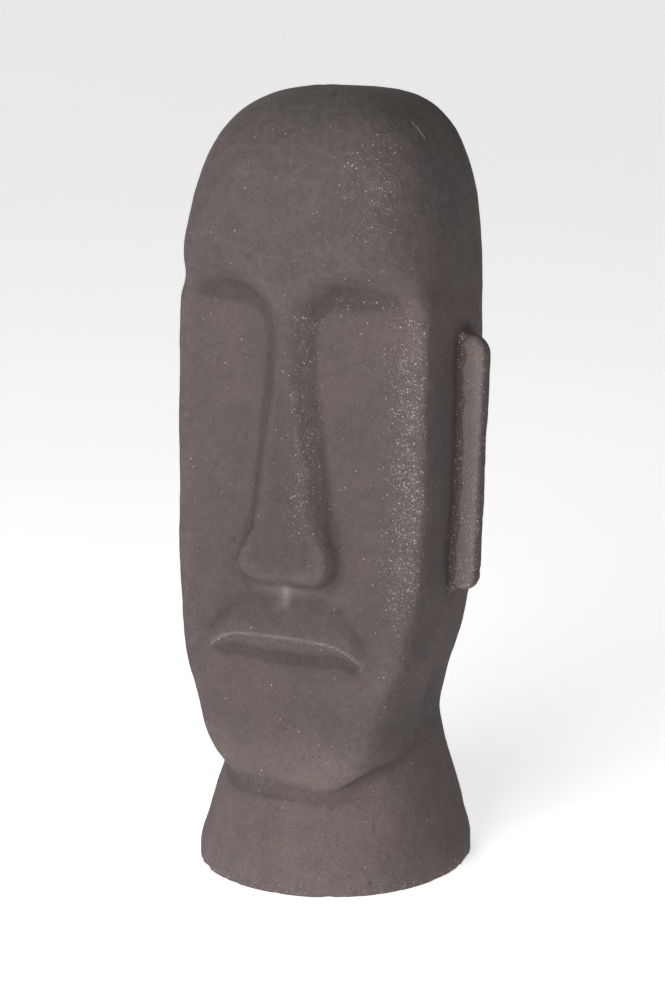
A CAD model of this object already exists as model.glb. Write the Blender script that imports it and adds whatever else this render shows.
import math

import bmesh
import bpy
import numpy as np
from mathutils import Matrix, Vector


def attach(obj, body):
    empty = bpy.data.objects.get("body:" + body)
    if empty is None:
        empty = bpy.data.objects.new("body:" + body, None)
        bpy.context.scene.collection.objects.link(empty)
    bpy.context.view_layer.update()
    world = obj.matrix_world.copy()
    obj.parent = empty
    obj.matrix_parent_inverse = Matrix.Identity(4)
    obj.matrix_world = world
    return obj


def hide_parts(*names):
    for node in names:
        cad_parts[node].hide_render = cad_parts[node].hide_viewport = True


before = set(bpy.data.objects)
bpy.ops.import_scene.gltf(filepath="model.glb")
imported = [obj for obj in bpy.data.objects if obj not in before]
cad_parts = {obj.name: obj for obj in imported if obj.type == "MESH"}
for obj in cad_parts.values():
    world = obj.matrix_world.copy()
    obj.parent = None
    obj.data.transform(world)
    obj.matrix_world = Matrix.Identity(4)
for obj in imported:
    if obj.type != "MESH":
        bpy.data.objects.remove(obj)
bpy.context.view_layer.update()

MM = 0.001
SEED = 7

# ---------------------------------------------------------------- sizes in millimetres
HEIGHT = 560.0
CROWN_START = 425.0         # height where the sides begin to round in to the crown
CROWN_POWER = 3.05          # squareness of the crown seen from the front
CROWN_LEAN = 0.6            # the back of the crown is squarer than the brow
CREST_REACH = 95.0          # section half-size the crown starts to shrink from
WALL = 11.0
PARTING_Y = 30.0            # plane where the two castings meet
HALF_JOINT = 1.5
EAR_LOW = 210.0
EAR_HIGH = 392.0
EAR_DEPTH = 15.0            # front to back
EAR_OUT = 115.5             # how far the ear stands from the middle plane
EAR_MIDDLE_Y = 4.3
EAR_SLANT = 0.05            # the lower end of the ear sits further forward
COVE_RADIUS = 6.0           # hollow fillet of mortar round each ear
COVE_BITE = 0.6             # the fillet starts this far inside the ear's own outline

# how finely the head is meshed
SKIN_ROWS = 300
CROWN_ROWS = 80
LINING_ROWS = 50
LINING_CROWN_ROWS = 20
COLUMNS = 440
FACE_CROWDING = 0.35        # 0 spaces the columns evenly round the head
CROWN_SHARE = 0.993         # share of the crown's curve that is in rows; a fan of faces closes the rest
EAR_VOXEL = 0.9
EAR_SMOOTHING = 5

# wear on the skin: waves are (length, height, seed)
SKIN_WAVES = ((46, 0.75, 1), (21, 0.40, 2), (8, 0.16, 3), (3.6, 0.11, 4))
EAR_WAVES = ((24, 0.35, 41), (7, 0.15, 42), (3.4, 0.10, 43))
EAR_WEAR = 0.25             # the cast ears are this much smaller than their moulds
FOOT_EVENNESS = 0.65        # share of the waves that dies out at the ground
EAR_CHIP_DEPTH = 1.6
RIM_CHIPS = ((9, 0.2, 2.2, 21), (24, 0.3, 1.6, 22))    # length, where the noise begins to bite, depth, seed
RIM_WEAR = 0.3
PIT_COUNT = 520
PIT_SIZES = (0.8, 2.0)
PIT_DEPTH = 0.35            # share of a pit's size
PIT_REACH = 3               # a pit fades out this many sizes away
CREASE_PASSES = 45          # blurring that finds creases and edges

# the camera, in millimetres and degrees
VIEW_TURN = 27.0            # the camera stands this far round towards the left ear
VIEW_DISTANCE = 1812.0
VIEW_HEIGHT = 673.0
VIEW_SHIFT_Y = -4.5
AIM_SIDE = -0.8
AIM_HEIGHT = 265.7
SENSOR = 36.0
LENS = 92.994

# the room, in metres
STATUE_MIDDLE = (0, 0, 0.28)
FLOOR_GLOW = 0.62           # the floor shines a little, as a lit sweep of white paper does
SWEEP_START = 34.0          # where the floor begins to bend up into the backdrop
SWEEP_RADIUS = 7.0
SWEEP_SIDES = 96
WHITE = (1.0, 1.0, 1.0, 1)
WORLD_STRENGTH = 0.05
KEY_PLACE = (-0.10, -2.3, 1.12)
KEY_SIZE = 1.3
KEY_POWER = 37.0
KEY_COLOUR = (1.0, 0.985, 0.96)
TOP_PLACE = (0.0, -1.5, 2.9)
TOP_SIZE = 2.2
TOP_POWER = 22.0
BACK_SOURCE = (-2.0, 2.0, 1.1)
BACK_POWER = 0.9
BACK_SOFTNESS = 30.0        # apparent size of the back light, in degrees

HALF_WIDTH = [
    (0, 98.5), (10, 98), (30, 92.5), (60, 84), (85, 77), (110, 73), (135, 76),
    (160, 83.5), (190, 90), (230, 94.3), (300, 96.4), (430, 96.3), (480, 95.4), (560, 93.5),
]
FRONT_DEPTH = [
    (0, 105), (10, 104.5), (30, 98.5), (50, 88.5), (68, 79), (90, 76), (115, 76),
    (160, 82), (225, 87), (260, 86), (330, 83), (400, 81.5), (425, 84), (450, 87.5), (560, 88),
]
BACK_DEPTH = [
    (0, 105), (10, 105), (30, 101), (60, 92), (85, 85), (110, 80), (135, 82),
    (180, 87.5), (260, 90.5), (360, 86.5), (430, 83.5), (480, 85), (560, 89),
]
SQUARENESS = [
    (0, 2.05), (60, 2.1), (150, 2.5), (300, 3.1), (400, 3.35), (450, 3.3), (500, 3.0), (560, 2.7),
]
FRONT_SQUARENESS = [
    (0, 2.05), (60, 2.1), (150, 2.5), (300, 3.1), (400, 3.6), (440, 3.85), (480, 3.15),
    (510, 2.95), (560, 2.7),
]
FACE_HALF_WIDTH = [
    (60, 69), (90, 71.5), (120, 75.8), (147, 83.1), (165, 88), (193, 92.2), (225, 95.4),
    (300, 97.6), (440, 97.4),
]
CHEEK_EDGE_DEPTH = [
    (60, 76), (90, 81), (120, 84.6), (147, 83.5), (165, 79), (193, 73), (225, 67),
    (277, 62.3), (350, 60.5), (400, 59), (440, 58),
]
CHEEK_MIDDLE_DEPTH = [
    (60, 87), (85, 89.5), (110, 90.5), (140, 89.5), (160, 87), (183, 85.5), (205, 82),
    (235, 75.5), (265, 72), (300, 71), (420, 71.5),
]
CHEEK_EDGE_SHARPNESS = [
    (60, 5.5), (110, 7), (147, 10), (183, 15), (219, 20), (280, 24), (380, 24), (440, 10),
]
NOSE_HALF_WIDTH = [
    (205, 29), (238, 29), (248, 26), (258, 23.5), (277, 21), (305, 18),
    (345, 13), (392, 8), (420, 5), (470, 4),
]
HOLLOW_FRONT_DEPTH = [
    (0, 93), (30, 86), (60, 76), (90, 66), (115, 64), (180, 63), (240, 60), (420, 59),
    (450, 68), (560, 68),
]


# ---------------------------------------------------------------- face features
BROW_HEIGHT = 438.0         # top of the eye hollows
BROW_DROOP = 9.0            # how much the brow falls in the next BROW_REACH from its peak
BROW_PEAK_X = 48.0
BROW_REACH = 50.0
BROW_SOFTNESS = 9.0         # how gently the brow turns in to the hollow
BROW_EXTRA_SOFTNESS = 8.0
HOLLOW_CORNER = 32.0        # radius where the brow turns down into the nose
NOSE_LOW = 221.5
NOSE_CORNER = 13.0
NOSE_FOOT_OUT = 3.0         # the wings stand this far outside the nose's sides
NOSE_CREST_DROP = 3.0       # how far the nose falls away beside its crest
NOSE_CREST_WIDTH = 20.0
NOSTRIL_X = 30.0
NOSTRIL_HEIGHT = 235.0
NOSTRIL_WIDTH = 9.0
NOSTRIL_TALL = 11.0
NOSTRIL_RISE = 3.0
LIP_TOP = 211.0
LIP_CREASE = 183.0
LIP_HALF_WIDTH = 60.0
LIP_RISE = 6.0              # how far the upper lip stands out
CREASE_DROOP = 15.0         # how far the corners of the mouth turn down
LIP_EDGE_DROOP = 42.0       # how far the top of the upper lip falls to its corners
LIP_PEAK_HALF = 24.0        # half of the level top of the upper lip
LIP_EDGE_REACH = 47.0
LOWER_LIP = 17.0            # height of the lip under the crease
LIP_TUCK = 1.5              # groove under the lower lip
CHIN_LOW = 61.0
JAW_HALF_WIDTH = 70.0
JAW_LIFT = 20.0             # how much higher the jaw's underside is at its corners
JAW_TILT = 9.0              # the jaw line is a little higher on the left side
JAW_ROUND = 23.0            # height over which the chin rounds under
JAW_EXTRA_ROUND = 2.0       # added at the corners of the jaw
JAW_FULLNESS = 0.62         # below 1 the rounding ends in a clear crease
JAW_SOFT_ANGLE = -0.42      # right of the chin the crease is softer; the angles are in radians
JAW_SOFT_SPREAD = 0.3
JAW_SOFT_ROUND = 12.0
JAW_SOFT_FULLNESS = 0.33
CHIN_TURN = 0.06            # the chin sits turned a little to the right of the face
CHIN_BOSS = 1.5
CHIN_BOSS_HEIGHT = 86.0
CHIN_DIP = 1.0              # shallow hollow above the chin boss
CHIN_DIP_HEIGHT = 130.0
PHILTRUM = 1.2              # groove from the nose to the lip
FACE_TURN = 0.35            # the face's planes fade out where they turn past the sides
CHIN_TO_EYES = 200.0        # height between the jaw's rules and the eyes' rules


# ---------------------------------------------------------------- the head's form
def clamp(value, low=0.0, high=1.0):
    return np.clip(value, low, high)


def ease(start, end, value):
    """Smooth step from 0 at start to 1 at end."""
    t = np.clip((value - start) / (end - start), 0, 1)
    return t * t * (3 - 2 * t)


def mound(value, width):
    """Round bump of height 1."""
    return np.exp(-((value / width) ** 2))


def profile(table, height):
    """Smooth curve through (height, value) pairs with no overshoot."""
    x = np.array([p[0] for p in table], float)
    y = np.array([p[1] for p in table], float)
    step = np.diff(y) / np.diff(x)
    slope = np.zeros_like(x)
    slope[0], slope[-1] = step[0], step[-1]
    for i in range(1, len(x) - 1):
        if step[i - 1] * step[i] > 0:
            slope[i] = 2 * step[i - 1] * step[i] / (step[i - 1] + step[i])
    height = np.clip(height, x[0], x[-1])
    k = np.clip(np.searchsorted(x, height) - 1, 0, len(x) - 2)
    span = x[k + 1] - x[k]
    t = (height - x[k]) / span
    value = y[k] * (1 + 2 * t) * (1 - t) ** 2 + slope[k] * span * t * (1 - t) ** 2
    return value + y[k + 1] * t * t * (3 - 2 * t) + slope[k + 1] * span * t * t * (t - 1)


def rounded_oblong(angle, half_width, front, back, front_power, back_power):
    """Radius of an oblong section; angle 0 looks forward."""
    side = np.abs(np.sin(angle))
    along = np.cos(angle)
    depth = np.where(along > 0, front, back)
    power = np.where(along > 0, front_power, back_power)
    return ((side / half_width) ** power + (np.abs(along) / depth) ** power) ** (-1 / power)


def body_radius(angle, height):
    """The plain body: flared foot, waisted neck, oblong head."""
    return rounded_oblong(
        angle,
        profile(HALF_WIDTH, height),
        profile(FRONT_DEPTH, height),
        profile(BACK_DEPTH, height),
        profile(FRONT_SQUARENESS, height),
        profile(SQUARENESS, height),
    )


def facet_radius(angle, height, plain):
    """The face's own planes: two cheeks turned back a little, and two side walls."""
    angle = angle + CHIN_TURN * (1 - ease(110, 170, height))
    power = profile(CHEEK_EDGE_SHARPNESS, height)
    width = profile(FACE_HALF_WIDTH, height)
    middle = profile(CHEEK_MIDDLE_DEPTH, height)
    turn = np.arctan2(middle - profile(CHEEK_EDGE_DEPTH, height), width)
    cheek = middle * np.cos(turn)
    wall = width * 2 ** (0.2 / power)
    quarter = math.pi / 2
    total = 0
    for facing, distance in ((turn, cheek), (-turn, cheek), (quarter, wall), (-quarter, wall)):
        total = total + (clamp(np.cos(angle - facing)) / distance) ** power
    return np.where(np.cos(angle) > 0, np.maximum(total, 1e-300) ** (-1 / power), plain)


def corner_distance(across, up, radius):
    """Signed distance to a corner region that lies at negative across and up."""
    dx = across + radius
    dz = up + radius
    outside = np.hypot(np.maximum(dx, 0), np.maximum(dz, 0))
    return outside + np.minimum(np.maximum(dx, dz), 0) - radius


def eye_hollow(side, height):
    """1 inside the eye hollow and on the cheek, 0 on the brow and the nose."""
    nose = profile(NOSE_HALF_WIDTH, height)
    brow = BROW_HEIGHT - BROW_DROOP * ((side - BROW_PEAK_X) / BROW_REACH) ** 2
    softness = BROW_SOFTNESS + BROW_EXTRA_SOFTNESS * ease(380, CROWN_START, height)
    upper = ease(8, -1.15 * softness, corner_distance(nose - side, height - brow, HOLLOW_CORNER))
    tip = corner_distance(side - nose - NOSE_FOOT_OUT, NOSE_LOW - height, NOSE_CORNER)
    lower = ease(-5, 7, tip)
    mix = ease(240, 262, height)
    return upper * mix + lower * (1 - mix)


def chin_mask(side, height, angle):
    """1 on the face, 0 on the neck; the jaw rounds under and meets the neck in a crease."""
    soft = mound(angle - JAW_SOFT_ANGLE, JAW_SOFT_SPREAD)
    jaw = CHIN_LOW + JAW_TILT * np.sin(angle) + JAW_LIFT * clamp(side / JAW_HALF_WIDTH, 0, 1.5) ** 2.3
    tall = JAW_ROUND + JAW_EXTRA_ROUND * clamp(side / JAW_HALF_WIDTH, 0, 1.2) ** 2 + JAW_SOFT_ROUND * soft
    t = clamp((height - jaw) / tall)
    return (1 - (1 - t) ** 2) ** (JAW_FULLNESS + JAW_SOFT_FULLNESS * soft)


def nose_relief(side, height, hollow):
    """Rounded crest and full nostrils."""
    on_nose = ease(222, 240, height) * (1 - ease(400, 440, height))
    crest = -NOSE_CREST_DROP * on_nose * (1 - hollow) * clamp(side / NOSE_CREST_WIDTH) ** 2
    nostril = mound(side - NOSTRIL_X, NOSTRIL_WIDTH) * mound(height - NOSTRIL_HEIGHT, NOSTRIL_TALL)
    return crest + NOSTRIL_RISE * nostril


def mouth_crease(side):
    """Height of the line of the mouth, which droops at its corners."""
    return LIP_CREASE - CREASE_DROOP * clamp(side / LIP_HALF_WIDTH, 0, 1.25) ** 4.5


def lip_relief(side, height):
    """Upper lip that swells down to a drooping crease, and a tucked lower lip."""
    crease = mouth_crease(side)
    outline = LIP_TOP - LIP_EDGE_DROOP * clamp((side - LIP_PEAK_HALF) / LIP_EDGE_REACH, 0, 1.2) ** 1.7
    fade = 1 - ease(48, 70, side)
    lower = LOWER_LIP * clamp(1 - (side / LIP_HALF_WIDTH) ** 2, 0.04, 1) ** 0.6
    above = clamp((outline - height) / np.maximum(outline - crease, 4))
    below = clamp((crease - height) / lower)
    swell = np.where(
        height > crease,
        0.75 * ease(0, 1, above) + 0.25 * above,
        1 - 0.5 * ease(0, 1, below) - 0.5 * below,
    )
    tuck = LIP_TUCK * mound(height - (crease - lower), 7) * (1 - ease(50, 66, side))
    return LIP_RISE * swell * fade - tuck


def chin_relief(side, height):
    """Boss and dip of the chin, and the groove from the nose to the lip."""
    boss = CHIN_BOSS * mound(side, 30) * mound(height - CHIN_BOSS_HEIGHT, 13)
    dip = CHIN_DIP * mound(side, 9) * mound(height - CHIN_DIP_HEIGHT, 22)
    groove = PHILTRUM * mound(side, 4) * ease(198, 206, height) * (1 - ease(214, 222, height))
    return boss - dip - groove


def head_radius(angle, height):
    """Outside of the statue below the crown."""
    plain = body_radius(angle, height)
    forward = clamp(np.cos(angle))
    facets = facet_radius(angle, height, plain)
    side = np.abs(facets * np.sin(angle))
    mask = np.where(height > CHIN_TO_EYES, eye_hollow(side, height), chin_mask(side, height, angle))
    mask = mask * ease(0, FACE_TURN, forward)
    radius = plain * (1 - mask) + facets * mask
    side = np.abs(radius * np.sin(angle))
    relief = nose_relief(side, height, mask) + lip_relief(side, height) + chin_relief(side, height)
    return radius + forward * relief


def hollow_radius(angle, height):
    """Inside of the wall: a plainer form than the outside."""
    return rounded_oblong(
        angle,
        profile(HALF_WIDTH, height) - WALL,
        profile(HOLLOW_FRONT_DEPTH, height),
        profile(BACK_DEPTH, height) - WALL,
        profile(SQUARENESS, height),
        profile(SQUARENESS, height),
    )


def crown_factor(angle, height, top):
    """How far a section has shrunk on its way up to the crown."""
    rise = np.clip((height - CROWN_START) / (top - CROWN_START), 0, 1)
    cosine = np.sqrt(np.clip(1 - rise ** CROWN_POWER, 0, 1))
    return cosine ** (2 / (CROWN_POWER - CROWN_LEAN * np.cos(angle)))


def crown_heights(top, count):
    """Heights that keep an even spacing along the curve of the crown."""
    fine = np.linspace(0, math.pi / 2, 4000)
    lift = np.sin(fine) ** (2 / CROWN_POWER) * (top - CROWN_START)
    reach = np.cos(fine) ** (2 / CROWN_POWER) * CREST_REACH
    walk = np.concatenate([[0], np.cumsum(np.hypot(np.diff(lift), np.diff(reach)))])
    even = np.linspace(0, walk[-1] * CROWN_SHARE, count)
    return CROWN_START + np.interp(even, walk, lift)


def surface_grid(radius_of, top, low_rows, crown_rows):
    """Rows and columns of points on a form, with the angle of each."""
    turns = -math.pi + 2 * math.pi * np.arange(COLUMNS) / COLUMNS
    angles = turns - FACE_CROWDING * np.sin(turns)
    heights = np.linspace(0, CROWN_START, low_rows)
    heights = np.concatenate([heights, crown_heights(top, crown_rows)[1:]])
    angle, height = np.meshgrid(angles, heights)
    radius = radius_of(angle, height) * crown_factor(angle, height, top)
    points = np.stack([radius * np.sin(angle), -radius * np.cos(angle), height], -1)
    return points, angle


# ---------------------------------------------------------------- wear and unevenness
HASH_X, HASH_Y, HASH_Z, HASH_SEED = 374761393, 668265263, 2147483647, 1274126177
HASH_BITS = 0xFFFFFF
SEED_OFFSET = np.array([11.3, 47.7, 5.9])


def lattice_hash(cell, seed):
    """A number in -1..1 for each cell corner, the same every time."""
    h = cell[..., 0] * HASH_X + cell[..., 1] * HASH_Y
    h = h + cell[..., 2] * HASH_Z + seed * HASH_SEED
    h = (h ^ (h >> 13)) * HASH_SEED
    h = (h ^ (h >> 16)) & HASH_BITS
    return 2 * h / HASH_BITS - 1


def lattice_noise(points, scale, seed):
    """Smooth value noise in -1..1 at positions in millimetres."""
    p = points / scale + SEED_OFFSET * (seed + 1)
    cell = np.floor(p)
    f = p - cell
    f = f * f * f * (f * (f * 6 - 15) + 10)
    cell = cell.astype(np.int64)
    total = 0
    for corner in np.ndindex(2, 2, 2):
        weight = np.prod(np.where(corner, f, 1 - f), axis=-1)
        total = total + lattice_hash(cell + corner, seed) * weight
    return total


def unevenness(points, waves):
    """Hand-made waviness of a cast skin, in millimetres."""
    return sum(height * lattice_noise(points, length, seed) for length, height, seed in waves)


def pits(points, rng):
    """Small blow-holes: depth at each point, in millimetres."""
    flat = points.reshape(-1, 3)
    depth = np.zeros(len(flat))
    centres = flat[rng.integers(0, len(flat), PIT_COUNT)]
    sizes = rng.uniform(*PIT_SIZES, PIT_COUNT)
    order = np.argsort(flat[:, 2], kind="stable")
    sorted_z = flat[order, 2]
    for centre, size in zip(centres, sizes):
        reach = PIT_REACH * size
        low, high = np.searchsorted(sorted_z, [centre[2] - reach, centre[2] + reach])
        near = order[low:high]
        distance = np.linalg.norm(flat[near] - centre, axis=1) / size
        depth[near] += np.where(distance < PIT_REACH, PIT_DEPTH * size * np.exp(-distance ** 2), 0)
    return depth.reshape(points.shape[:-1])


def ear_cove(points):
    """How far the side wall swells out to meet an ear, as a concave quarter round."""
    middle = (EAR_LOW + EAR_HIGH) / 2
    lean = EAR_MIDDLE_Y + math.tan(EAR_SLANT) * (points[..., 2] - middle)
    across = np.maximum(np.abs(points[..., 1] - lean) - EAR_DEPTH / 2 + COVE_BITE, 0)
    up = np.maximum(np.abs(points[..., 2] - middle) - (EAR_HIGH - EAR_LOW) / 2 + COVE_BITE, 0)
    left = 1 - clamp(np.hypot(across, up) / COVE_RADIUS)
    on_side_wall = np.abs(points[..., 0]) > JAW_HALF_WIDTH
    return COVE_RADIUS * (1 - np.sqrt(1 - left ** 2)) * on_side_wall


def rim_chips(points, angle):
    """Broken foot rim: how far the lowest edge is worn back."""
    height = points[..., 2]
    foot_radius = FRONT_DEPTH[0][1]
    ring = np.stack([np.cos(angle) * foot_radius, np.sin(angle) * foot_radius, 0 * angle], -1)
    broken = sum(
        clamp(lattice_noise(ring, length, seed) - start) * depth
        for length, start, depth, seed in RIM_CHIPS
    )
    edge = 1 - ease(0.0, 4.0, height - 1.2 * lattice_noise(ring, 5, 23))
    return (RIM_WEAR + broken) * edge


def grid_normals(points):
    """Unit normals of a grid of points that closes on itself along its rows."""
    across = np.roll(points, -1, 1) - np.roll(points, 1, 1)
    up = np.gradient(points, axis=0)
    normal = np.cross(across, up)
    return normal / np.maximum(np.linalg.norm(normal, axis=-1, keepdims=True), 1e-9)


def weathered(points, angle, rng):
    """Skin points with unevenness, blow-holes and chips added."""
    normal = grid_normals(points)
    outward = np.sign(np.sum(normal * np.stack([points[..., 0], points[..., 1], 0 * angle], -1), -1))
    outward[outward == 0] = 1
    normal = normal * np.median(outward)
    above_rim = ease(0, 4, points[..., 2])
    shift = unevenness(points, SKIN_WAVES) * (1 - FOOT_EVENNESS + FOOT_EVENNESS * above_rim)
    shift = shift - pits(points, rng) - rim_chips(points, angle)
    moved = points + normal * shift[..., None]
    moved[..., 0] = moved[..., 0] + np.sign(points[..., 0]) * ear_cove(points)
    moved[..., 2] = np.where(points[..., 2] <= 0, 0, np.maximum(moved[..., 2], 0.2))
    return moved


def hollowness(points):
    """Positive in creases, negative on edges, averaged over a few millimetres."""
    smooth = points
    for _ in range(CREASE_PASSES):
        padded = np.concatenate([smooth[:1], smooth, smooth[-1:]])
        smooth = padded[:-2] + padded[2:] + np.roll(smooth, 1, 1) + np.roll(smooth, -1, 1)
        smooth = smooth / 4
    return np.sum((smooth - points) * grid_normals(points), -1)


# ---------------------------------------------------------------- meshes
def grid_faces(rows, columns, start, flip):
    """Quads of a closed tube of points."""
    i, j = np.meshgrid(np.arange(rows - 1), np.arange(columns), indexing="ij")
    a = start + i * columns + j
    b = start + i * columns + (j + 1) % columns
    quads = np.stack([a, b, b + columns, a + columns], -1).reshape(-1, 4)
    if flip:
        quads = quads[:, ::-1]
    return quads


def wall_mesh(outer, inner):
    """Closed wall: outer skin, foot rim and inner skin, with both crowns capped."""
    rows_o, columns = outer.shape[:2]
    rows_i = inner.shape[0]
    points = np.concatenate([outer.reshape(-1, 3), inner.reshape(-1, 3)])
    start_i = rows_o * columns
    top_o = outer[-1].mean(0)
    top_i = inner[-1].mean(0)
    points = np.concatenate([points, [top_o, top_i]])
    faces = grid_faces(rows_o, columns, 0, False).tolist()
    faces += grid_faces(rows_i, columns, start_i, True).tolist()
    last_o = (rows_o - 1) * columns
    last_i = start_i + (rows_i - 1) * columns
    for j in range(columns):
        k = (j + 1) % columns
        faces.append([last_o + j, last_o + k, len(points) - 2])
        faces.append([last_i + k, last_i + j, len(points) - 1])
        faces.append([k, j, start_i + j, start_i + k])
    mesh = bpy.data.meshes.new("wall")
    mesh.from_pydata((points * MM).tolist(), [], faces)
    mesh.update()
    return mesh


def add_attribute(mesh, name, values):
    """Store one number per vertex for the materials to read."""
    layer = mesh.attributes.new(name, "FLOAT", "POINT")
    layer.data.foreach_set("value", np.asarray(values, np.float32))


def cut_between(mesh, name, low, high):
    """Copy of the wall between two planes square to Y, closed across the cuts."""
    bm = bmesh.new()
    bm.from_mesh(mesh)
    for place, normal in ((low, (0, -1, 0)), (high, (0, 1, 0))):
        if place is None:
            continue
        result = bmesh.ops.bisect_plane(
            bm, geom=bm.verts[:] + bm.edges[:] + bm.faces[:], dist=1e-7,
            plane_co=(0, place * MM, 0), plane_no=normal, clear_outer=True,
        )
        edges = [g for g in result["geom_cut"] if isinstance(g, bmesh.types.BMEdge)]
        bmesh.ops.triangle_fill(bm, edges=edges, use_beauty=True, use_dissolve=False)
    bmesh.ops.recalc_face_normals(bm, faces=bm.faces[:])
    made = bpy.data.meshes.new(name)
    bm.to_mesh(made)
    bm.free()
    return made


def link(mesh, name, material):
    """Put a mesh in the scene as a smooth-shaded object."""
    obj = bpy.data.objects.new(name, mesh)
    bpy.context.scene.collection.objects.link(obj)
    mesh.materials.append(material)
    for polygon in mesh.polygons:
        polygon.use_smooth = True
    return obj


def vertex_table(mesh):
    """Places in millimetres and normals of a mesh's vertices."""
    points = np.empty(len(mesh.vertices) * 3)
    mesh.vertices.foreach_get("co", points)
    normals = np.empty(len(mesh.vertices) * 3)
    mesh.vertex_normals.foreach_get("vector", normals)
    return points.reshape(-1, 3) / MM, normals.reshape(-1, 3)


# ---------------------------------------------------------------- masks for the materials
def film_mask(x, y, z, points, normals):
    """Grey-green film: on the crown, the nose and its tip, the brow and the left shoulder of the head."""
    crown = ease(495, 548, z + 14 * lattice_noise(points, 30, 31))
    along_nose = ease(222, 236, z) * (1 - 0.75 * ease(255, 400, z)) * (1 - ease(400, 425, z))
    nose = mound(x, 24) * ease(73, 80, -y) * along_nose
    brow = mound(z - 440, 12) * ease(60, 80, -y)
    shoulder = ease(430, 520, z) * ease(0.35, 0.9, normals[:, 0])
    return clamp(0.5 * crown + 0.95 * nose + 0.3 * brow + 0.35 * shoulder)


def soot_mask(z, normals):
    """General darkening: none on the front of the neck, more above the jaw, most on the brow and sides."""
    flanks = ease(0.6, 0.95, np.abs(normals[:, 0]))
    return clamp(0.88 * ease(78, 125, z) + 0.25 * ease(425, 455, z) + 0.5 * flanks)


def speck_mask(x, y, z, front):
    """Where pale grit crowds: left cheek edge, left flank of the nose, left brow, temple and foot rim."""
    cheek = mound(x - 88, 13) * ease(175, 235, z) * (1 - ease(385, 425, z)) * ease(0.1, 0.5, front)
    flank = mound(x - 15, 8) * ease(245, 280, z) * (1 - ease(400, 425, z)) * ease(66, 74, -y)
    inner_brow = mound(x - 40, 28) * mound(z - 428, 14) * front
    temple = mound(x - 66, 22) * ease(450, 480, z) * (1 - ease(530, 550, z)) * ease(0.1, 0.7, front)
    rim = 1 - ease(1, 9, z)
    return clamp(0.02 + 1.3 * cheek + 0.6 * flank + 0.22 * inner_brow + 0.32 * temple + 0.6 * rim)


def worn_mask(x, y, z):
    """Pale dust: the line of the mouth, the groove above it and the foot of the nose."""
    side = np.abs(x)
    on_face = ease(60, 70, -y)
    line = 0.30 * mound(z - mouth_crease(side) + 0.2, 0.7) * (1 - ease(56, 62, side))
    groove = 0.22 * mound(x + 0.5, 4) * ease(199, 206, z) * (1 - ease(215, 222, z))
    under_nose = 0.16 * mound(x, 26) * mound(z - 214, 5)
    return clamp((line + groove + under_nose) * on_face)


def paint(mesh):
    """Give a mesh the masks its material reads."""
    points, normals = vertex_table(mesh)
    x, y, z = points.T
    front = clamp(-normals[:, 1])
    add_attribute(mesh, "film", film_mask(x, y, z, points, normals))
    add_attribute(mesh, "soot", soot_mask(z, normals))
    add_attribute(mesh, "speck", speck_mask(x, y, z, front))
    add_attribute(mesh, "worn", worn_mask(x, y, z))


# ---------------------------------------------------------------- materials
FLAT = (0.160, 0.124, 0.118, 1)
DARK = (0.141, 0.115, 0.110, 1)
PALE = (0.50, 0.45, 0.42, 1)            # bare grit and dust
PORE = (0.035, 0.03, 0.028, 1)
SOOT = (0.66, 0.68, 0.70, 1)
FILM = (0.76, 0.83, 0.79, 1)
GRIME = (0.76, 0.76, 0.78, 1)
MORTAR_FLAT = (0.157, 0.123, 0.117, 1)
MORTAR_DARK = (0.136, 0.112, 0.107, 1)
SLAB_FLAT = (0.20, 0.18, 0.165, 1)
SLAB_DARK = (0.15, 0.135, 0.125, 1)
GLASS_PALE = (0.62, 0.60, 0.52, 1)
GLASS_DARK = (0.30, 0.28, 0.24, 1)
SLURRY = (0.15, 0.125, 0.115, 1)
EDGE_RUB = 0.035
# grit: cells per metre, largest share of cells that show, faintest and brightest
GRIT = ((1150, 0.80, 0.15, 0.75), (640, 0.75, 0.25, 1.0))
# a pale scratch high on the left of the crown: start, end, width in millimetres
SCRATCHES = (((67.5, -19.6, 539.2), (76.7, -18.3, 528.2), 0.9),)


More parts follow.
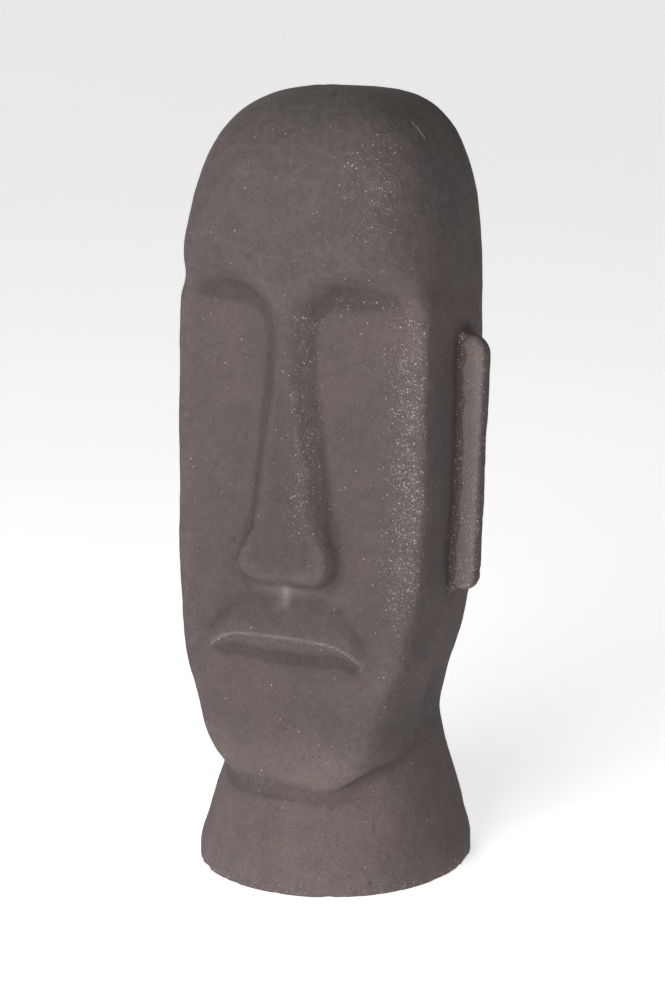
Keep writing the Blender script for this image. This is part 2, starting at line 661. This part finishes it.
class Nodes:
    """Small helper to write a node tree as formulas."""

    def __init__(self, material):
        material.use_nodes = True
        self.tree = material.node_tree
        self.tree.nodes.clear()
        self.coords = self.new("ShaderNodeTexCoord").outputs["Object"]

    def new(self, kind, **settings):
        node = self.tree.nodes.new(kind)
        for name, value in settings.items():
            setattr(node, name, value)
        return node

    def feed(self, socket, value):
        if isinstance(value, bpy.types.NodeSocket):
            self.tree.links.new(value, socket)
        else:
            socket.default_value = value

    def noise(self, scale, detail=3.0, rough=0.55, warp=0.0):
        node = self.new("ShaderNodeTexNoise")
        self.feed(node.inputs["Vector"], self.coords)
        node.inputs["Scale"].default_value = scale
        node.inputs["Detail"].default_value = detail
        node.inputs["Roughness"].default_value = rough
        node.inputs["Distortion"].default_value = warp
        return node.outputs["Fac"]

    def cells(self, scale):
        node = self.new("ShaderNodeTexVoronoi")
        self.feed(node.inputs["Vector"], self.coords)
        node.inputs["Scale"].default_value = scale
        return node

    def math(self, kind, a, b):
        node = self.new("ShaderNodeMath", operation=kind)
        self.feed(node.inputs[0], a)
        self.feed(node.inputs[1], b)
        return node.outputs[0]

    def ramp(self, value, low, high, out_low=0.0, out_high=1.0):
        """Smooth step from out_low at low to out_high at high."""
        node = self.new("ShaderNodeMapRange", interpolation_type="SMOOTHSTEP")
        self.feed(node.inputs["Value"], value)
        node.inputs["From Min"].default_value = low
        node.inputs["From Max"].default_value = high
        node.inputs["To Min"].default_value = out_low
        node.inputs["To Max"].default_value = out_high
        return node.outputs["Result"]

    def mix(self, factor, a, b, blend="MIX"):
        """Colour a with colour b laid over it."""
        node = self.new("ShaderNodeMix", data_type="RGBA", blend_type=blend)
        self.feed(node.inputs[0], factor)
        self.feed(node.inputs[6], a)
        self.feed(node.inputs[7], b)
        return node.outputs[2]

    def attribute(self, name):
        node = self.new("ShaderNodeAttribute", attribute_type="GEOMETRY", attribute_name=name)
        return node.outputs["Fac"]

    def grey(self, value):
        node = self.new("ShaderNodeCombineColor")
        for socket in node.inputs:
            self.feed(socket, value)
        return node.outputs[0]

    def tint(self, colour, value):
        """A colour made lighter or darker by a factor."""
        return self.mix(1.0, colour, self.grey(value), "MULTIPLY")

    def stain(self, factor, colour, stain_colour):
        """A colour multiplied by a stain, as far as the factor says."""
        return self.mix(factor, colour, self.mix(1.0, colour, stain_colour, "MULTIPLY"))

    def bump(self, height, strength, distance, normal=None):
        node = self.new("ShaderNodeBump")
        self.feed(node.inputs["Height"], height)
        node.inputs["Strength"].default_value = strength
        node.inputs["Distance"].default_value = distance
        if normal is not None:
            self.feed(node.inputs["Normal"], normal)
        return node.outputs["Normal"]

    def finish(self, colour, roughness, normal, specular=0.2, glow=0.0):
        shader = self.new("ShaderNodeBsdfPrincipled")
        shader.inputs["Emission Color"].default_value = WHITE
        shader.inputs["Emission Strength"].default_value = glow
        self.feed(shader.inputs["Base Color"], colour)
        self.feed(shader.inputs["Roughness"], roughness)
        self.feed(shader.inputs["Normal"], normal)
        shader.inputs["Specular IOR Level"].default_value = specular
        output = self.new("ShaderNodeOutputMaterial")
        self.tree.links.new(shader.outputs[0], output.inputs[0])


def scratch(nodes, start, end, width):
    """1 along a short straight scratch between two places in millimetres, fading to 0."""
    start = Vector(start) * MM
    along = Vector(end) * MM - start
    relative = nodes.new("ShaderNodeVectorMath", operation="SUBTRACT")
    nodes.feed(relative.inputs[0], nodes.coords)
    relative.inputs[1].default_value = start
    dot = nodes.new("ShaderNodeVectorMath", operation="DOT_PRODUCT")
    nodes.feed(dot.inputs[0], relative.outputs[0])
    dot.inputs[1].default_value = along / along.length_squared
    t = nodes.math("MINIMUM", nodes.math("MAXIMUM", dot.outputs["Value"], 0.0), 1.0)
    scaled = nodes.new("ShaderNodeVectorMath", operation="SCALE")
    scaled.inputs[0].default_value = along
    nodes.feed(scaled.inputs["Scale"], t)
    away = nodes.new("ShaderNodeVectorMath", operation="DISTANCE")
    nodes.feed(away.inputs[0], relative.outputs[0])
    nodes.feed(away.inputs[1], scaled.outputs[0])
    return nodes.ramp(away.outputs["Value"], width * 0.4 * MM, width * MM, 1.0, 0.0)


def mottled(nodes, flat, dark, patch, cloud, grain, fine):
    """Cast stone's own colour: broad clouds down to single grains."""
    broad = nodes.noise(14, 4, 0.6, 0.4)
    ground = nodes.mix(nodes.ramp(broad, 0.36, 0.66), dark, flat)
    ground = nodes.tint(ground, nodes.ramp(patch, 0.30, 0.72, 0.95, 1.05))
    ground = nodes.tint(ground, nodes.ramp(cloud, 0.30, 0.72, 0.95, 1.05))
    ground = nodes.tint(ground, nodes.ramp(grain, 0.28, 0.74, 0.80, 1.20))
    return nodes.tint(ground, nodes.ramp(fine, 0.30, 0.72, 0.88, 1.12))


def stained(nodes, ground, pale, patch, cloud):
    """Soot and green film over the ground, grime in creases, rubbed edges."""
    ground = nodes.stain(nodes.attribute("soot"), ground, SOOT)
    film = nodes.math("MULTIPLY", nodes.attribute("film"), nodes.ramp(patch, 0.30, 0.62, 0.7, 1.0))
    ground = nodes.stain(film, ground, FILM)
    hollow = nodes.ramp(nodes.attribute("cavity"), 0.03, 0.9)
    ground = nodes.stain(hollow, ground, GRIME)
    edge = nodes.ramp(nodes.attribute("cavity"), -0.12, -0.9)
    edge = nodes.math("MULTIPLY", edge, nodes.ramp(cloud, 0.35, 0.65, 0.3, 1.0))
    return nodes.mix(nodes.math("MULTIPLY", edge, EDGE_RUB), ground, pale)


def gritty(nodes, ground, pale):
    """Fine and coarse pale grit, crowded where the speck mask is high."""
    clusters = nodes.ramp(nodes.noise(90, 3), 0.35, 0.62, 0.35, 1.0)
    crowd = nodes.math("MULTIPLY", nodes.attribute("speck"), clusters)
    for scale, share, faint, bright in GRIT:
        grit = nodes.cells(scale)
        spot = nodes.ramp(grit.outputs["Distance"], 0.15, 0.44, 1.0, 0.0)
        split = nodes.new("ShaderNodeSeparateColor")
        nodes.feed(split.inputs[0], grit.outputs["Color"])
        density = nodes.math("SUBTRACT", 1.0, nodes.math("MULTIPLY", crowd, share))
        chosen = nodes.math("GREATER_THAN", split.outputs[0], density)
        strength = nodes.ramp(nodes.math("POWER", split.outputs[1], 2.0), 0.0, 1.0, faint, bright)
        spot = nodes.math("MULTIPLY", nodes.math("MULTIPLY", spot, chosen), strength)
        ground = nodes.mix(spot, ground, pale)
    return ground


def stone(name, flat, dark, pale, painted=True, marks=()):
    """Matte cast stone: mottled ground, fine grain, dark pores, pale grit and worn places."""
    material = bpy.data.materials.new(name)
    nodes = Nodes(material)
    patch = nodes.noise(55, 4, 0.65)
    cloud = nodes.noise(170, 3, 0.6)
    grain = nodes.noise(900, 3, 0.7)
    fine = nodes.noise(2300, 2, 0.6)
    ground = mottled(nodes, flat, dark, patch, cloud, grain, fine)
    deep = nodes.ramp(nodes.cells(430).outputs["Distance"], 0.10, 0.24, 1.0, 0.0)
    deep = nodes.math("MULTIPLY", deep, nodes.ramp(nodes.noise(300, 1), 0.56, 0.66))
    ground = nodes.mix(nodes.math("MULTIPLY", deep, 0.6), ground, PORE)
    if painted:
        ground = stained(nodes, ground, pale, patch, cloud)
        ground = gritty(nodes, ground, pale)
        dust = nodes.math("MULTIPLY", nodes.attribute("worn"), nodes.ramp(grain, 0.36, 0.56, 0.6, 1.0))
        ground = nodes.mix(dust, ground, pale)
    for start, end, width in marks:
        line = nodes.math("MULTIPLY", scratch(nodes, start, end, width), nodes.ramp(grain, 0.3, 0.55))
        ground = nodes.mix(nodes.math("MULTIPLY", line, 0.8), ground, pale)
    rough = nodes.ramp(grain, 0.3, 0.7, 0.86, 0.98)
    relief = nodes.math("ADD", nodes.math("MULTIPLY", grain, 0.6), nodes.math("MULTIPLY", fine, 0.3))
    relief = nodes.math("SUBTRACT", relief, nodes.math("MULTIPLY", deep, 0.5))
    normal = nodes.bump(relief, 0.75, 0.55 * MM)
    normal = nodes.bump(cloud, 0.35, 0.7 * MM, normal)
    nodes.finish(ground, rough, normal)
    return material


def woven_glass(name):
    """Woven glass fibre, partly soaked in cement slurry."""
    material = bpy.data.materials.new(name)
    nodes = Nodes(material)
    across = nodes.new("ShaderNodeTexWave", wave_type="BANDS", bands_direction="X")
    along = nodes.new("ShaderNodeTexWave", wave_type="BANDS", bands_direction="Z")
    for wave in (across, along):
        nodes.feed(wave.inputs["Vector"], nodes.coords)
        wave.inputs["Scale"].default_value = 90.0
        wave.inputs["Distortion"].default_value = 0.6
    weave = nodes.math("MAXIMUM", across.outputs["Fac"], along.outputs["Fac"])
    slurry = nodes.ramp(nodes.noise(60, 4, 0.6), 0.40, 0.60)
    threads = nodes.mix(nodes.ramp(weave, 0.2, 0.8), GLASS_DARK, GLASS_PALE)
    colour = nodes.mix(nodes.math("MULTIPLY", slurry, 0.7), threads, SLURRY)
    rough = nodes.ramp(weave, 0.0, 1.0, 0.9, 0.6)
    nodes.finish(colour, rough, nodes.bump(weave, 0.6, 0.4 * MM))
    return material


def floor_material():
    material = bpy.data.materials.new("pale_floor")
    nodes = Nodes(material)
    tone = nodes.ramp(nodes.noise(2.0, 2, 0.5), 0.3, 0.7, 0.90, 0.92)
    normal = nodes.bump(nodes.noise(300, 2), 0.02, 0.5 * MM)
    nodes.finish(nodes.grey(tone), 0.9, normal, 0.1, FLOOR_GLOW)
    return material


# ---------------------------------------------------------------- pieces
def take_place(obj, node):
    """Let a piece ride on the statue and stand for one CAD node."""
    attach(obj, "root")
    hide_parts(node)


def cast_wall(rng):
    """The whole hollow head as one closed mesh, with the masks its materials read."""
    skin, turns = surface_grid(head_radius, HEIGHT, SKIN_ROWS, CROWN_ROWS)
    skin = weathered(skin, turns, rng)
    lining, _ = surface_grid(hollow_radius, HEIGHT - WALL, LINING_ROWS, LINING_CROWN_ROWS)
    wall = wall_mesh(skin, lining)
    cavity = np.zeros(len(wall.vertices))
    cavity[: skin.shape[0] * COLUMNS] = hollowness(skin).ravel()
    add_attribute(wall, "cavity", cavity)
    paint(wall)
    return wall


def remeshed(source, name, voxel, smoothing):
    """Even, closed mesh round another mesh, a little softened."""
    rough = bpy.data.objects.new(name + "_rough", source)
    bpy.context.scene.collection.objects.link(rough)
    remesh = rough.modifiers.new("even", "REMESH")
    remesh.mode = "VOXEL"
    remesh.voxel_size = voxel * MM
    soften = rough.modifiers.new("soft", "SMOOTH")
    soften.factor = 0.5
    soften.iterations = smoothing
    made = bpy.data.meshes.new_from_object(rough.evaluated_get(bpy.context.evaluated_depsgraph_get()))
    bpy.data.objects.remove(rough)
    made.name = name
    made.materials.clear()
    return made


def cast_ear(node):
    """One ear: uneven, chipped along its outer edges, dusty in front and gritty towards its lower end."""
    mesh = remeshed(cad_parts[node].data, node + "_skin", EAR_VOXEL, EAR_SMOOTHING)
    points, normals = vertex_table(mesh)
    outer_edge = ease(105, 113, np.abs(points[:, 0]))
    chips = clamp(lattice_noise(points, 6, 44) - 0.35) * EAR_CHIP_DEPTH * outer_edge
    moved = points + normals * (unevenness(points, EAR_WAVES) - EAR_WEAR - chips)[:, None]
    moved[:, 0] = np.clip(moved[:, 0], -EAR_OUT, EAR_OUT)
    mesh.vertices.foreach_set("co", (moved * MM).ravel())
    mesh.update()
    add_attribute(mesh, "cavity", np.zeros(len(points)))
    add_attribute(mesh, "film", np.zeros(len(points)))
    add_attribute(mesh, "soot", ease(0.4, 0.9, np.abs(normals[:, 0])))
    add_attribute(mesh, "speck", 0.25 + 0.6 * (1 - ease(215, 330, points[:, 2])))
    add_attribute(mesh, "worn", 0.12 * ease(0.5, 0.9, -normals[:, 1]))
    return mesh


# ---------------------------------------------------------------- the room
def back_light():
    """Even soft light from behind, so the far side can be read."""
    data = bpy.data.lights.new("back", "SUN")
    data.energy = BACK_POWER
    data.angle = math.radians(BACK_SOFTNESS)
    light = bpy.data.objects.new("back", data)
    light.rotation_euler = (-Vector(BACK_SOURCE)).to_track_quat("-Z", "Y").to_euler()
    bpy.context.scene.collection.objects.link(light)


def area_light(name, place, size, power, colour):
    """A soft round light aimed at the middle of the statue."""
    data = bpy.data.lights.new(name, "AREA")
    data.shape = "DISK"
    data.size = size
    data.energy = power
    data.color = colour
    light = bpy.data.objects.new(name, data)
    light.location = place
    light.rotation_euler = (Vector(STATUE_MIDDLE) - Vector(place)).to_track_quat("-Z", "Y").to_euler()
    bpy.context.scene.collection.objects.link(light)


def floor():
    """A wide flat floor whose far rim sweeps up into a pale backdrop."""
    bends = np.radians(np.arange(0, 91, 15))
    radii = SWEEP_START + SWEEP_RADIUS * np.sin(bends)
    lifts = SWEEP_RADIUS * (1 - np.cos(bends))
    turns = np.linspace(0, 2 * math.pi, SWEEP_SIDES, endpoint=False)
    points = [(r * math.cos(t), r * math.sin(t), h) for r, h in zip(radii, lifts) for t in turns]
    faces = grid_faces(len(radii), SWEEP_SIDES, 0, False)[:, ::-1].tolist()
    mesh = bpy.data.meshes.new("floor")
    mesh.from_pydata(points, [], [list(range(SWEEP_SIDES))] + faces)
    mesh.update()
    obj = bpy.data.objects.new("floor", mesh)
    mesh.materials.append(floor_material())
    bpy.context.scene.collection.objects.link(obj)


def daylight():
    """A very weak even light from all round."""
    world = bpy.data.worlds.new("studio")
    bpy.context.scene.world = world
    world.use_nodes = True
    background = world.node_tree.nodes["Background"]
    background.inputs["Color"].default_value = WHITE
    background.inputs["Strength"].default_value = WORLD_STRENGTH


def camera():
    """A three-quarter view from a little above the crown."""
    data = bpy.data.cameras.new("camera")
    data.sensor_width = SENSOR
    data.lens = LENS
    data.clip_end = 100
    data.dof.use_dof = False
    obj = bpy.data.objects.new("camera", data)
    turn = math.radians(VIEW_TURN)
    along, across = math.cos(turn), math.sin(turn)
    place = Vector((VIEW_DISTANCE * across, VIEW_SHIFT_Y - VIEW_DISTANCE * along, VIEW_HEIGHT))
    aim = Vector((AIM_SIDE * along, VIEW_SHIFT_Y + AIM_SIDE * across, AIM_HEIGHT))
    obj.location = place * MM
    obj.rotation_euler = (aim - place).to_track_quat("-Z", "Y").to_euler()
    bpy.context.scene.collection.objects.link(obj)
    bpy.context.scene.camera = obj


# ---------------------------------------------------------------- the statue in its room
head_stone = stone("cast_stone", FLAT, DARK, PALE, marks=SCRATCHES)
mortar = stone("mortar", MORTAR_FLAT, MORTAR_DARK, PALE)
slab_stone = stone("foot_slab", SLAB_FLAT, SLAB_DARK, PALE, painted=False)
glass = woven_glass("glass_fibre")

wall = cast_wall(np.random.default_rng(SEED))
seam_low, seam_high = PARTING_Y - HALF_JOINT, PARTING_Y + HALF_JOINT
front = link(cut_between(wall, "head_front", None, seam_low), "head_front", head_stone)
take_place(front, "face_shell")
back = link(cut_between(wall, "head_back", seam_high, None), "head_back", head_stone)
take_place(back, "back_shell")
seam = link(cut_between(wall, "joint_filling", seam_low, seam_high), "joint_filling", mortar)
take_place(seam, "seam_mortar")
bpy.data.meshes.remove(wall)

for word in ("left", "right"):
    ear = link(cast_ear(word + "_ear"), word + "_ear_block", head_stone)
    take_place(ear, word + "_ear")

for node, material in (
    ("seam_tape", glass),
    ("base_plate", slab_stone),
    ("base_mortar", mortar),
    ("left_ear_mortar", mortar),
    ("right_ear_mortar", mortar),
):
    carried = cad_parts[node].data
    carried.materials.clear()
    carried.materials.append(material)

floor()
daylight()
area_light("key", KEY_PLACE, KEY_SIZE, KEY_POWER, KEY_COLOUR)
area_light("top", TOP_PLACE, TOP_SIZE, TOP_POWER, WHITE[:3])
back_light()
camera()
bpy.context.scene.view_settings.view_transform = "Standard"
